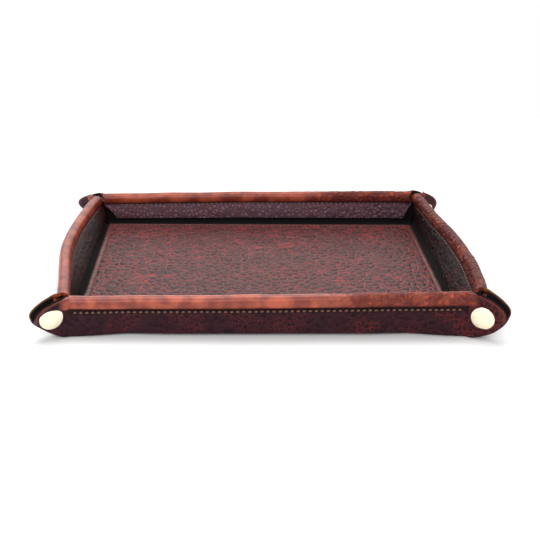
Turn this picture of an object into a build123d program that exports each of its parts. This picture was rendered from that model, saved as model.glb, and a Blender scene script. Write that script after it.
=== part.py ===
from build123d import *
import math
import os

# Valet tray of one turned-edge leather sheet. Four walls stand up from a flat base, and the
# leather at each corner is pinched into an ear that a snap fastener holds closed.
# Right is +X, the back is +Y, up is +Z. The origin is under the middle of the base. Millimetres.

# Driving dimensions of the tray
base_length = 254.0
base_width = 195.0
wall_height = 28.5
leather = 2.0
lining = 1.0
glue_line = 0.05
bend_radius = 5.0
fold_gap = 0.16

# Rolled rim with its filler cord, and the flap that is turned down inside the wall
rim_diameter = 8.0
flap_depth = 21.0
front_end_lean = 1.5
front_bow = 2.0
side_end_lean = 3.0
side_bow = 6.5

# Ears at the corners
ear_azimuth = 30.0
front_crease_inset = 3.5
ear_gap_low = 0.8
ear_length = 23.0
ear_foot = 0.8
ear_lining_step = 1.5
ear_toe = 3.0
ear_slope = 32.0
ear_nose_height = 16.8
ear_nose_depth = 2.6
ear_top_crown = 2.4
crease_gap = 0.3
corner_gap = 0.5

# Snap fasteners
cap_diameter = 15.0
cap_rim = 0.7
cap_dome = 0.6
snap_along = 10.2
snap_height = 15.0
post_diameter = 3.0
post_clear = 0.1
socket_diameter = 11.6
socket_height = 1.1
socket_floor = 0.4
socket_bore = 6.6
stud_diameter = 9.0
stud_floor = 0.5
nub_diameter = 5.4
nub_height = 1.4
eyelet_diameter = 9.5
eyelet_flange = 0.5
eyelet_tube = 4.2
eyelet_bore = 3.0

# Base pad: a board covered with leather
pad_end_gap = 1.0
pad_side_gap = 8.0
pad_leather = 1.8
board_thickness = 1.5
board_clear = 0.05
pad_corner = 5.0
pad_edge_round = 1.2

# Derived sizes
half_length = base_length / 2
half_width = base_width / 2
sheet = leather + glue_line + lining
rim_radius = rim_diameter / 2
core_radius = rim_radius - leather
rim_centre_height = wall_height - rim_radius
stack = leather + 2 * glue_line + lining + leather
flap_edge_height = wall_height - flap_depth
azimuth = math.radians(ear_azimuth)
front_crease = half_length - front_crease_inset
ear_spread = 2 * sheet + ear_gap_low
crease_step = (ear_spread - front_crease_inset * math.sin(azimuth)) / math.cos(azimuth)
side_crease = half_width - crease_step
fold_turn = math.degrees(fold_gap / bend_radius)
run_overrun = rim_diameter
ear_overrun = sheet
station_shares = (-1.0, 0.0, 1.0)
roll_side_turn = 20.0
pad_length = base_length - 2 * (bend_radius + pad_end_gap)
pad_width = base_width - 2 * (bend_radius + pad_side_gap)
front_turn = 0.0
back_turn = 180.0
left_turn = -90.0
right_turn = 90.0
side_azimuth = right_turn - ear_azimuth

# Each wall: how far it is turned from the front, its face, its creases, its lean, bow and ear turn
WALLS = {
    "front": (front_turn, half_width, front_crease, front_end_lean, front_bow, ear_azimuth),
    "back": (back_turn, half_width, front_crease, front_end_lean, front_bow, ear_azimuth),
    "left": (left_turn, half_length, side_crease, side_end_lean, side_bow, side_azimuth),
    "right": (right_turn, half_length, side_crease, side_end_lean, side_bow, side_azimuth),
}

# Each corner: the wall and end that carry its cap, and the wall and end that carry its stud
CORNERS = {
    "front_left": ("front", -1, "left", 1),
    "front_right": ("front", 1, "right", -1),
    "back_left": ("back", 1, "left", -1),
    "back_right": ("back", -1, "right", 1),
}

os.makedirs("parts", exist_ok=True)


def write(part, name):
    """Label one finished piece and write its STEP file."""
    part.label = name
    export_step(part, f"parts/{name}.step")


def turned(x, y, z, turn):
    """A vector given for the front wall, turned to another wall."""
    return Vector(x, y, z).rotate(Axis.Z, turn)


def run_plane(turn, station):
    """Plane across a wall's run, with x pointing out of the tray and y up."""
    return Plane(turned(station, 0, 0, turn), x_dir=turned(0, -1, 0, turn), z_dir=turned(-1, 0, 0, turn))


def on_bend(face, radius, degrees):
    """Point of the bend under a wall, turned up from the flat base by an angle."""
    a = math.radians(degrees)
    return (face - bend_radius + radius * math.sin(a), bend_radius - radius * math.cos(a))


def on_circle(centre, radius, degrees):
    """Point of a circle in a wall's section."""
    a = math.radians(degrees)
    return (centre[0] + radius * math.cos(a), centre[1] + radius * math.sin(a))


def wall_tilt(station, crease, end_lean, bow):
    """How far the wall leans outwards at one station of its run, in radians."""
    lean = end_lean + bow * (1 - (station / crease) ** 2)
    return math.atan2(lean, rim_centre_height - bend_radius)


def up_wall(face, tilt, depth, rise):
    """Point some depth under a leaning wall's outer face, some way up from the end of its bend."""
    x, y = on_bend(face, bend_radius - depth, 90 - math.degrees(tilt))
    return (x + rise * math.sin(tilt), y + rise * math.cos(tilt))


def rise_to(tilt, depth, height):
    """How far up a leaning wall a height lies, at some depth under its outer face."""
    return (height - bend_radius + (bend_radius - depth) * math.sin(tilt)) / math.cos(tilt)


def roll_centre(wall, station):
    """Middle of a wall's roll at one station of its run."""
    turn, face, crease, end_lean, bow, ear_turn = WALLS[wall]
    tilt = wall_tilt(station, crease, end_lean, bow)
    out, height = up_wall(face, tilt, stack / 2, rise_to(tilt, stack / 2, rim_centre_height))
    return turned(station, -out, height, turn)


def leather_section(face, tilt):
    """Outline of a wall's leather: bend, wall, roll round the cord and inner flap."""
    rise = rise_to(tilt, stack / 2, rim_centre_height)
    centre = up_wall(face, tilt, stack / 2, rise)
    drop = math.sqrt(rim_radius**2 - (stack / 2) ** 2)
    slot = stack / 2 - leather
    slot_drop = math.sqrt(core_radius**2 - slot**2)
    flap_rise = rise_to(tilt, stack, flap_edge_height)
    start_turn = 45 + fold_turn
    end_turn = 90 - math.degrees(tilt)
    inner = bend_radius - leather
    foot = on_bend(face, bend_radius, start_turn)
    inner_foot = on_bend(face, inner, start_turn)
    neck_out = up_wall(face, tilt, 0, rise - drop)
    neck_in = up_wall(face, tilt, stack, rise - drop)
    crown = (centre[0], centre[1] + rim_radius)
    core_crown = (centre[0], centre[1] + core_radius)
    slot_out = up_wall(face, tilt, leather, rise - slot_drop)
    slot_in = up_wall(face, tilt, stack - leather, rise - slot_drop)
    flap_low = up_wall(face, tilt, stack, flap_rise)
    flap_back = up_wall(face, tilt, stack - leather, flap_rise)
    with BuildLine() as outline:
        ThreePointArc(foot, on_bend(face, bend_radius, (start_turn + end_turn) / 2),
                      up_wall(face, tilt, 0, 0))
        Line(up_wall(face, tilt, 0, 0), neck_out)
        ThreePointArc(neck_out, on_circle(centre, rim_radius, roll_side_turn), crown)
        ThreePointArc(crown, on_circle(centre, rim_radius, 180 - roll_side_turn), neck_in)
        Line(neck_in, flap_low)
        Line(flap_low, flap_back)
        Line(flap_back, slot_in)
        ThreePointArc(slot_in, on_circle(centre, core_radius, 180 - roll_side_turn), core_crown)
        ThreePointArc(core_crown, on_circle(centre, core_radius, roll_side_turn), slot_out)
        Line(slot_out, up_wall(face, tilt, leather, 0))
        ThreePointArc(up_wall(face, tilt, leather, 0), on_bend(face, inner, (start_turn + end_turn) / 2),
                      inner_foot)
        Line(inner_foot, foot)
    return outline.line


def lining_section(face, tilt):
    """Outline of a wall's lining, from the bend up to the cord in the roll."""
    start_turn = 45 + fold_turn
    end_turn = 90 - math.degrees(tilt)
    near = leather + glue_line
    far = near + lining
    outer = bend_radius - near
    inner = bend_radius - far
    rise = rise_to(tilt, stack / 2, rim_centre_height) - core_radius
    with BuildLine() as outline:
        ThreePointArc(on_bend(face, outer, start_turn), on_bend(face, outer, (start_turn + end_turn) / 2),
                      up_wall(face, tilt, near, 0))
        Line(up_wall(face, tilt, near, 0), up_wall(face, tilt, near, rise))
        Line(up_wall(face, tilt, near, rise), up_wall(face, tilt, far, rise))
        Line(up_wall(face, tilt, far, rise), up_wall(face, tilt, far, 0))
        ThreePointArc(up_wall(face, tilt, far, 0), on_bend(face, inner, (start_turn + end_turn) / 2),
                      on_bend(face, inner, start_turn))
        Line(on_bend(face, inner, start_turn), on_bend(face, outer, start_turn))
    return outline.line


def corner_plane(wall, end):
    """Upright plane along a corner's diagonal that halves the space between the two walls' ends."""
    turn, face, crease, end_lean, bow, ear_turn = WALLS[wall]
    a = math.radians(ear_turn)
    beside_face, beside_crease = half_width, front_crease
    if face == half_width:
        beside_face, beside_crease = half_length, side_crease
    middle = Vector(end * (crease + beside_face) / 2, -(face + beside_crease) / 2, 0)
    along = Vector(end * math.cos(a), -math.sin(a), 0)
    normal = Vector(end * math.sin(a), math.cos(a), 0)
    start = middle - normal * (corner_gap / 2)
    return Plane(start.rotate(Axis.Z, turn), x_dir=along.rotate(Axis.Z, turn),
                 z_dir=normal.rotate(Axis.Z, turn))


def trim_ends(wall):
    """Cut the ends of a wall's layer off at its two creases and at the corners' diagonals."""
    for end in (1, -1):
        split(bisect_by=mitre_plane(wall, end, -crease_gap / 2), keep=Keep.BOTTOM)
        split(bisect_by=corner_plane(wall, end), keep=Keep.BOTTOM)


def mitre_plane(wall, end, shift):
    """Plane that halves the turn from a wall into its ear, facing the ear."""
    turn, face, crease, end_lean, bow, ear_turn = WALLS[wall]
    half_turn = math.radians(ear_turn / 2)
    up = Vector(0, -end_lean, rim_centre_height - bend_radius)
    across = Vector(end * math.sin(half_turn), math.cos(half_turn), 0)
    normal = up.cross(across).normalized()
    if normal.X * end < 0:
        normal = -normal
    start = Vector(end * crease, -face, bend_radius) + normal * shift
    return Plane(start.rotate(Axis.Z, turn), x_dir=across.rotate(Axis.Z, turn),
                 z_dir=normal.rotate(Axis.Z, turn))


def ear_plane(wall, end, depth):
    """Outer face of an ear half, or a plane at some depth under it: x along the run, y up."""
    turn, face, crease, end_lean, bow, ear_turn = WALLS[wall]
    a = math.radians(ear_turn)
    along = Vector(math.cos(a), -end * math.sin(a), 0)
    up = Vector(0, -end_lean, rim_centre_height - bend_radius)
    outward = along.cross(up).normalized()
    foot = Vector(end * crease, -face, bend_radius) - up * (bend_radius / up.Z)
    origin = foot - outward * depth
    return Plane(origin.rotate(Axis.Z, turn), x_dir=along.rotate(Axis.Z, turn),
                 z_dir=outward.rotate(Axis.Z, turn))


def ear_outline(end, foot):
    """Outline of an ear half on its plane, from a foot height, a little past the crease at one side."""
    shoulder = ear_length - ear_nose_depth
    low_height = foot + (shoulder - ear_toe) * math.tan(math.radians(ear_slope))
    low = (shoulder, low_height)
    nose = (ear_length, ear_nose_height)
    high = (shoulder, 2 * ear_nose_height - low_height)
    crown = (shoulder / 2, (high[1] + wall_height) / 2 + ear_top_crown)
    points = [(-ear_overrun, foot), (ear_toe, foot), low, nose, high, crown, (0, wall_height)]
    back, toe, low, nose, high, crown, crease_top = [(end * u, v) for u, v in points]
    back_top = (back[0], wall_height)
    with BuildLine() as outline:
        Line(back, toe)
        Line(toe, low)
        ThreePointArc(low, nose, high)
        ThreePointArc(high, crown, crease_top)
        Line(crease_top, back_top)
        Line(back_top, back)
    return outline.line


def snap_axis(wall, end):
    """Middle of the snap on an ear half's outer face, as a plane that faces outwards."""
    plane = ear_plane(wall, end, 0)
    middle = plane.from_local_coords((end * snap_along, snap_height, 0))
    return Plane(middle, x_dir=plane.x_dir, z_dir=plane.z_dir)


def section_plane(axis_plane):
    """Plane through a snap's axis, with x away from the axis and y out of the ear."""
    return Plane(axis_plane.origin, x_dir=axis_plane.x_dir, z_dir=axis_plane.x_dir.cross(axis_plane.z_dir))


# Base: the sheet's middle, its lining, and the four strips that start the bends
with BuildPart() as base_leather:
    with BuildSketch(Plane.XY):
        Rectangle(2 * (half_length - bend_radius), 2 * (half_width - bend_radius))
    extrude(amount=leather)
    for turn, face, crease, end_lean, bow, ear_turn in WALLS.values():
        with BuildSketch(run_plane(turn, crease)):
            with BuildLine():
                end_turn = 45 - fold_turn
                inner = bend_radius - leather
                ThreePointArc(on_bend(face, bend_radius, 0), on_bend(face, bend_radius, end_turn / 2),
                              on_bend(face, bend_radius, end_turn))
                Line(on_bend(face, bend_radius, end_turn), on_bend(face, inner, end_turn))
                ThreePointArc(on_bend(face, inner, end_turn), on_bend(face, inner, end_turn / 2),
                              on_bend(face, inner, 0))
                Line(on_bend(face, inner, 0), on_bend(face, bend_radius, 0))
            make_face()
        extrude(amount=2 * crease)
write(base_leather.part, "base_leather")

with BuildPart() as base_lining:
    with BuildSketch(Plane.XY.offset(leather + glue_line)):
        Rectangle(2 * (half_length - bend_radius), 2 * (half_width - bend_radius))
    extrude(amount=lining)
    for turn, face, crease, end_lean, bow, ear_turn in WALLS.values():
        with BuildSketch(run_plane(turn, crease)):
            with BuildLine():
                end_turn = 45 - fold_turn
                outer = bend_radius - leather - glue_line
                inner = outer - lining
                ThreePointArc(on_bend(face, outer, 0), on_bend(face, outer, end_turn / 2),
                              on_bend(face, outer, end_turn))
                Line(on_bend(face, outer, end_turn), on_bend(face, inner, end_turn))
                ThreePointArc(on_bend(face, inner, end_turn), on_bend(face, inner, end_turn / 2),
                              on_bend(face, inner, 0))
                Line(on_bend(face, inner, 0), on_bend(face, outer, 0))
            make_face()
        extrude(amount=2 * crease)
write(base_lining.part, "base_lining")

# Pad: a stiff board under a leather cover that is turned down over its edges
with BuildPart() as pad_cover:
    with BuildSketch(Plane.XY.offset(sheet)):
        RectangleRounded(pad_length, pad_width, pad_corner)
    extrude(amount=board_thickness + board_clear + pad_leather)
    fillet(pad_cover.faces().sort_by(Axis.Z)[-1].edges(), radius=pad_edge_round)
    with BuildSketch(Plane.XY.offset(sheet)):
        RectangleRounded(pad_length - 2 * pad_leather, pad_width - 2 * pad_leather, pad_corner - pad_leather)
    extrude(amount=board_thickness + board_clear, mode=Mode.SUBTRACT)
write(pad_cover.part, "pad_cover")

with BuildPart() as pad_board:
    with BuildSketch(Plane.XY.offset(sheet)):
        inset = 2 * (pad_leather + board_clear)
        RectangleRounded(pad_length - inset, pad_width - inset, pad_corner - inset / 2)
    extrude(amount=board_thickness)
write(pad_board.part, "pad_board")

# Walls: leather with its roll and flap, lining, and the filler cord in the roll
for name, (turn, face, crease, end_lean, bow, ear_turn) in WALLS.items():
    with BuildPart() as wall_leather:
        for share in station_shares:
            station = share * (crease + run_overrun)
            with BuildSketch(run_plane(turn, station)):
                add(leather_section(face, wall_tilt(station, crease, end_lean, bow)))
                make_face()
        loft()
        trim_ends(name)
    write(wall_leather.part, f"{name}_wall_leather")

    with BuildPart() as wall_lining:
        for share in station_shares:
            station = share * (crease + run_overrun)
            with BuildSketch(run_plane(turn, station)):
                add(lining_section(face, wall_tilt(station, crease, end_lean, bow)))
                make_face()
        loft()
        trim_ends(name)
    write(wall_lining.part, f"{name}_wall_lining")

    with BuildPart() as rim_cord:
        with BuildLine() as cord_path:
            ThreePointArc([roll_centre(name, share * (crease + run_overrun)) for share in station_shares])
        with BuildSketch(Plane(cord_path.line @ 0, z_dir=cord_path.line % 0)):
            Circle(core_radius - glue_line)
        sweep(path=cord_path.line)
        trim_ends(name)
    write(rim_cord.part, f"{name}_rim_cord")

# Ears: one half on each wall, with the snap's cap and socket on one and its stud and eyelet on the other
for corner, (cap_wall, cap_end, stud_wall, stud_end) in CORNERS.items():
    for role, wall, end, hole in (
        ("cap", cap_wall, cap_end, post_diameter / 2 + post_clear),
        ("stud", stud_wall, stud_end, eyelet_tube / 2 + post_clear),
    ):
        with BuildPart() as ear_leather:
            with BuildSketch(ear_plane(wall, end, 0)):
                add(ear_outline(end, ear_foot))
                make_face()
                with Locations((end * snap_along, snap_height)):
                    Circle(hole, mode=Mode.SUBTRACT)
            extrude(amount=-leather)
            split(bisect_by=mitre_plane(wall, end, crease_gap / 2), keep=Keep.TOP)
        write(ear_leather.part, f"{corner}_{role}_ear_leather")

        with BuildPart() as ear_lining:
            with BuildSketch(ear_plane(wall, end, leather + glue_line)):
                add(ear_outline(end, ear_foot + ear_lining_step))
                make_face()
                with Locations((end * snap_along, snap_height)):
                    Circle(hole, mode=Mode.SUBTRACT)
            extrude(amount=-lining)
            split(bisect_by=mitre_plane(wall, end, crease_gap / 2), keep=Keep.TOP)
        write(ear_lining.part, f"{corner}_{role}_ear_lining")

    cap_axis = snap_axis(cap_wall, cap_end)
    with BuildPart() as snap_cap:
        with BuildSketch(section_plane(cap_axis)):
            with BuildLine():
                Line((0, cap_rim + cap_dome), (0, -sheet - socket_floor))
                Line((0, -sheet - socket_floor), (post_diameter / 2, -sheet - socket_floor))
                Line((post_diameter / 2, -sheet - socket_floor), (post_diameter / 2, 0))
                Line((post_diameter / 2, 0), (cap_diameter / 2 - cap_rim / 2, 0))
                ThreePointArc((cap_diameter / 2 - cap_rim / 2, 0), (cap_diameter / 2, cap_rim / 2),
                              (cap_diameter / 2 - cap_rim / 2, cap_rim))
                Bezier((cap_diameter / 2 - cap_rim / 2, cap_rim), (cap_diameter / 4, cap_rim + cap_dome),
                       (0, cap_rim + cap_dome))
            make_face()
        revolve(axis=Axis(cap_axis.origin, cap_axis.z_dir))
    write(snap_cap.part, f"{corner}_snap_cap")

    with BuildPart() as snap_socket:
        with BuildSketch(section_plane(cap_axis)):
            with BuildLine():
                Polyline(
                    (post_diameter / 2 + post_clear, -sheet),
                    (socket_diameter / 2, -sheet),
                    (socket_diameter / 2, -sheet - socket_height + socket_floor),
                    (socket_bore / 2 + socket_floor, -sheet - socket_height),
                    (socket_bore / 2, -sheet - socket_height),
                    (socket_bore / 2, -sheet - socket_floor),
                    (post_diameter / 2 + post_clear, -sheet - socket_floor),
                    close=True,
                )
            make_face()
        revolve(axis=Axis(cap_axis.origin, cap_axis.z_dir))
    write(snap_socket.part, f"{corner}_snap_socket")

    stud_axis = snap_axis(stud_wall, stud_end)
    with BuildPart() as snap_stud:
        with BuildSketch(section_plane(stud_axis)):
            with BuildLine():
                Polyline(
                    (eyelet_tube / 2 + post_clear, -sheet),
                    (stud_diameter / 2, -sheet),
                    (stud_diameter / 2, -sheet - stud_floor),
                    (nub_diameter / 2, -sheet - stud_floor),
                    (nub_diameter / 2, -sheet - nub_height + eyelet_flange),
                    (nub_diameter / 2 - eyelet_flange / 2, -sheet - nub_height),
                    (eyelet_tube / 2 + post_clear, -sheet - nub_height),
                    close=True,
                )
            make_face()
        revolve(axis=Axis(stud_axis.origin, stud_axis.z_dir))
    write(snap_stud.part, f"{corner}_snap_stud")

    with BuildPart() as snap_eyelet:
        with BuildSketch(section_plane(stud_axis)):
            with BuildLine():
                Polyline(
                    (eyelet_bore / 2, eyelet_flange),
                    (eyelet_diameter / 2 - eyelet_flange / 2, eyelet_flange),
                    (eyelet_diameter / 2, eyelet_flange / 2),
                    (eyelet_diameter / 2, 0),
                    (eyelet_tube / 2, 0),
                    (eyelet_tube / 2, -sheet - nub_height + eyelet_flange / 2),
                    (eyelet_bore / 2, -sheet - nub_height + eyelet_flange / 2),
                    close=True,
                )
            make_face()
        revolve(axis=Axis(stud_axis.origin, stud_axis.z_dir))
    write(snap_eyelet.part, f"{corner}_snap_eyelet")
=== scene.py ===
import logging
import math
from dataclasses import dataclass
from enum import Enum

import bmesh
import bpy
from mathutils import Matrix, Vector, noise


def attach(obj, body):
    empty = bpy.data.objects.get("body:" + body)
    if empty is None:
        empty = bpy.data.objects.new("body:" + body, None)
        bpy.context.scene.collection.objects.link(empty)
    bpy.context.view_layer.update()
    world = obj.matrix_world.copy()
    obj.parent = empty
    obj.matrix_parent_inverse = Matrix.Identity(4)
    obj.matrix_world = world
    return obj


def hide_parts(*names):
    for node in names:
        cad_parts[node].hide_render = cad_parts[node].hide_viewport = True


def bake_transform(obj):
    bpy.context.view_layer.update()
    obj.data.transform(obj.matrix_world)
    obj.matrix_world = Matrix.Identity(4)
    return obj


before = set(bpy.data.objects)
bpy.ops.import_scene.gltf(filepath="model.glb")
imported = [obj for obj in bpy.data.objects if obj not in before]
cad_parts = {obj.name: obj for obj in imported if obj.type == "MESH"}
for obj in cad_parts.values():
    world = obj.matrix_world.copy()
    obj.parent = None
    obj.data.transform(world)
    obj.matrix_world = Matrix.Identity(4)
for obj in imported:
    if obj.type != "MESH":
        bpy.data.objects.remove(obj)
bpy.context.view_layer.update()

log = logging.getLogger("valet_tray")
MM = 0.001
# Pairs of numbers: a place, a range, a noise's scale and detail, a bump's strength and distance
Point = Span = Noise = Bump = tuple[float, float]
# A ramp's range, then the range that it becomes where that isn't 0 to 1
Ramp = tuple[float, ...]
Colour = tuple[int, int, int]
Mesh = bmesh.types.BMesh
Piece = bpy.types.Object
Socket = bpy.types.NodeSocket


def smooth(low: float, high: float, value: float) -> float:
    """Ease from 0 to 1 as a value goes from low to high.

    Args:
        low: Where the ease starts.
        high: Where the ease ends.
        value: The value to ease.

    Returns:
        A number from 0 to 1.
    """
    t = min(max((value - low) / (high - low), 0.0), 1.0)
    return t * t * (3.0 - 2.0 * t)


def mix(a: float, b: float, share: float) -> float:
    """Return the number that lies a share of the way from a to b."""
    return a + (b - a) * share


def ripple(x: float, y: float, z: float, size: float) -> float:
    """Return smooth noise from -1 to 1 at a point, for bumps of a size in the same unit."""
    return noise.noise(Vector((x, y, z)) / size)


@dataclass(frozen=True)
class Sizes:
    """Sizes that the whole tray shares, in millimetres, degrees or shares of a length."""

    half_length: float = 127.0
    half_width: float = 97.5
    height: float = 28.5
    leather: float = 2.0
    lining: float = 1.0
    glue: float = 0.05
    bend_middle: float = 5.6
    bend_corner: float = 2.4
    bend_spread: Span = (0.62, 1.0)
    bend_overlap: float = 0.3
    tilt_bend: float = 5.0
    roll_radius: float = 4.0
    roll_below: float = 12.0
    guide_drop: float = 0.62
    guide_width: float = 1.02
    hem: float = 5.1
    pinch_height: float = 19.6
    pinch_depth: float = 0.4
    pinch_span: Span = (0.78, 1.0)
    flap_height: float = 7.5
    flap_settle: float = 0.25
    flap_puff: float = 0.55
    flap_fullness: float = 0.8
    fold_depth: float = 3.25
    right_rise_share: float = 0.065
    hollow: float = 1.45
    # The pinched corners spread the foot of the front and back walls and draw in its middle
    foot_spread: float = 2.3
    foot_draw: float = 1.8
    pull_along: Span = (0.45, 0.97)
    pull_inset: float = 5.9
    pull_height: float = 13.0
    # Use has pushed the rims of the side walls out and in, over these spans of the tray's width
    left_bulge: float = 3.8
    left_tuck: float = 2.0
    left_span: Span = (-80.0, 0.0)
    left_back_span: Span = (50.0, 97.0)
    left_back_share: float = 0.4
    right_bulge: float = 5.4
    right_tuck: float = 2.7
    right_rise_span: Span = (-102.0, -84.0)
    right_fall_span: Span = (-58.0, 32.0)
    right_tuck_span: Span = (5.0, 55.0)
    sway_height: Span = (10.0, 26.0)
    sway_from: float = 0.6

    @property
    def roll_centre(self) -> float:
        """Height of the middle of the rolled rim."""
        return self.height - self.roll_radius

    def corner_pull(self, x: float, y: float, z: float) -> float:
        """How far the pinch has drawn the foot of a corner out of the tray.

        Args:
            x: Place along the tray's length.
            y: Place along its width.
            z: Height.

        Returns:
            The distance to the front or to the back.
        """
        along = smooth(self.pull_along[0] * self.half_length, self.pull_along[1] * self.half_length, abs(x))
        across = smooth(self.half_width - self.pull_inset, self.half_width, abs(y))
        low = 1.0 - smooth(0.0, self.pull_height, z)
        return (self.foot_spread * along - self.foot_draw * (1.0 - along)) * across * low

    def sway(self, x: float, y: float, z: float) -> float:
        """How far use has pushed the rims of the side walls along the tray's length.

        Args:
            x: Place along the tray's length.
            y: Place along its width.
            z: Height.

        Returns:
            The distance to the right.
        """
        if x < 0.0:
            push = mix(self.left_tuck, -self.left_bulge, smooth(*self.left_span, y))
            push *= 1.0 - self.left_back_share * smooth(*self.left_back_span, y)
        else:
            push = self.right_bulge * smooth(*self.right_rise_span, y) * (1.0 - smooth(*self.right_fall_span, y))
            push -= self.right_tuck * smooth(*self.right_tuck_span, y)
        near_end = smooth(self.sway_from * self.half_length, self.half_length, abs(x))
        return push * smooth(*self.sway_height, z) * near_end

    def rise(self, x: float, z: float) -> float:
        """Height of a point once the tray's right side stands a little taller."""
        return z * (1.0 + self.right_rise_share * x / self.half_length)


SIZES = Sizes()


@dataclass(frozen=True)
class Rows:
    """How many rows of points each part of a wall's section has, and what lies on which row."""

    bend: int = 9
    wall: int = 18
    neck: int = 9
    roll: int = 32
    flap: int = 20
    roll_start: Span = (27.0, 33.0)
    roll_end: Span = (26.0, 20.0)
    flap_start: Span = (22.0, 18.0)
    groove_start: Span = (23.5, 25.5)
    groove_end: Span = (27.5, 30.0)
    face_stitches: int = 26
    flap_stitches: int = 20


ROWS = Rows()


class Side(Enum):
    """The four walls, with how far each is turned from the front one."""

    FRONT = 0
    BACK = 180
    LEFT = -90
    RIGHT = 90

    @property
    def body(self) -> str:
        """Name of the wall's body."""
        return f"{self.name.lower()}_wall"


class Role(Enum):
    """What an ear half carries."""

    CAP = "cap"
    STUD = "stud"


def grid(columns: int, rows: int) -> tuple[Mesh, list[tuple[bmesh.types.BMVert, int, int]]]:
    """Start a sheet.

    Args:
        columns: Points along it.
        rows: Points across it.

    Returns:
        The sheet, and each of its points with its column and its row.
    """
    mesh = bmesh.new()
    bmesh.ops.create_grid(mesh, x_segments=columns - 1, y_segments=rows - 1, size=1.0)
    return mesh, [(v, round((v.co.x + 1) / 2 * (columns - 1)), round((v.co.y + 1) / 2 * (rows - 1)))
                  for v in mesh.verts]


def orient(mesh: Mesh, up: bool, highest: bool = False) -> None:
    """Make the faces of a sheet agree.

    Args:
        mesh: The sheet.
        up: Whether its lowest face looks up.
        highest: True goes by the highest face instead.
    """
    bmesh.ops.recalc_face_normals(mesh, faces=mesh.faces)
    chosen = (max if highest else min)(mesh.faces, key=lambda f: f.calc_center_median().z)
    if (chosen.normal.z > 0) != up:
        bmesh.ops.reverse_faces(mesh, faces=mesh.faces)


def link(mesh: Mesh, name: str) -> Piece:
    """Make a smooth object of a bmesh.

    Args:
        mesh: The finished bmesh in metres, freed here.
        name: Name of the new object.

    Returns:
        The new object.
    """
    data = bpy.data.meshes.new(name)
    for face in mesh.faces:
        face.smooth = True
    mesh.to_mesh(data)
    mesh.free()
    obj = bpy.data.objects.new(name, data)
    bpy.context.scene.collection.objects.link(obj)
    return obj


def thicken(obj: Piece, thickness: float, sharp_from: float = 48.0) -> None:
    """Give an open skin its thickness, inwards from its outer side.

    Args:
        obj: The skin, whose faces point outwards.
        thickness: Thickness in millimetres.
        sharp_from: Angle in degrees from which an edge is shaded sharp.
    """
    shell = obj.modifiers.new("Thickness", "SOLIDIFY")
    shell.thickness = thickness * MM
    shell.offset = -1.0
    shell.use_even_offset = False
    shell.use_rim = True
    bpy.context.view_layer.update()
    finished = bpy.data.meshes.new_from_object(obj.evaluated_get(bpy.context.evaluated_depsgraph_get()))
    old = obj.data
    obj.modifiers.clear()
    obj.data = finished
    finished.name = obj.name
    finished.set_sharp_from_angle(angle=math.radians(sharp_from))
    bpy.data.meshes.remove(old)


def weld(obj: Piece, within: float = 0.04) -> None:
    """Join the points of a skin that lie on each other, so that no face is left without area.

    Args:
        obj: The skin.
        within: Distance under which two points are one, in millimetres.
    """
    mesh = bmesh.new()
    mesh.from_mesh(obj.data)
    bmesh.ops.remove_doubles(mesh, verts=mesh.verts, dist=within * MM)
    mesh.to_mesh(obj.data)
    mesh.free()


def rest_on_table(obj: Piece) -> None:
    """Lift the points of a piece that thickening has pushed under the table."""
    for vertex in obj.data.vertices:
        vertex.co.z = max(vertex.co.z, 0.0)


def paint(obj: Piece, name: str, values: list[float]) -> None:
    """Store one number a vertex as an attribute that materials can read."""
    layer = obj.data.attributes.new(name, "FLOAT", "POINT")
    layer.data.foreach_set("value", values)


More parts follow.
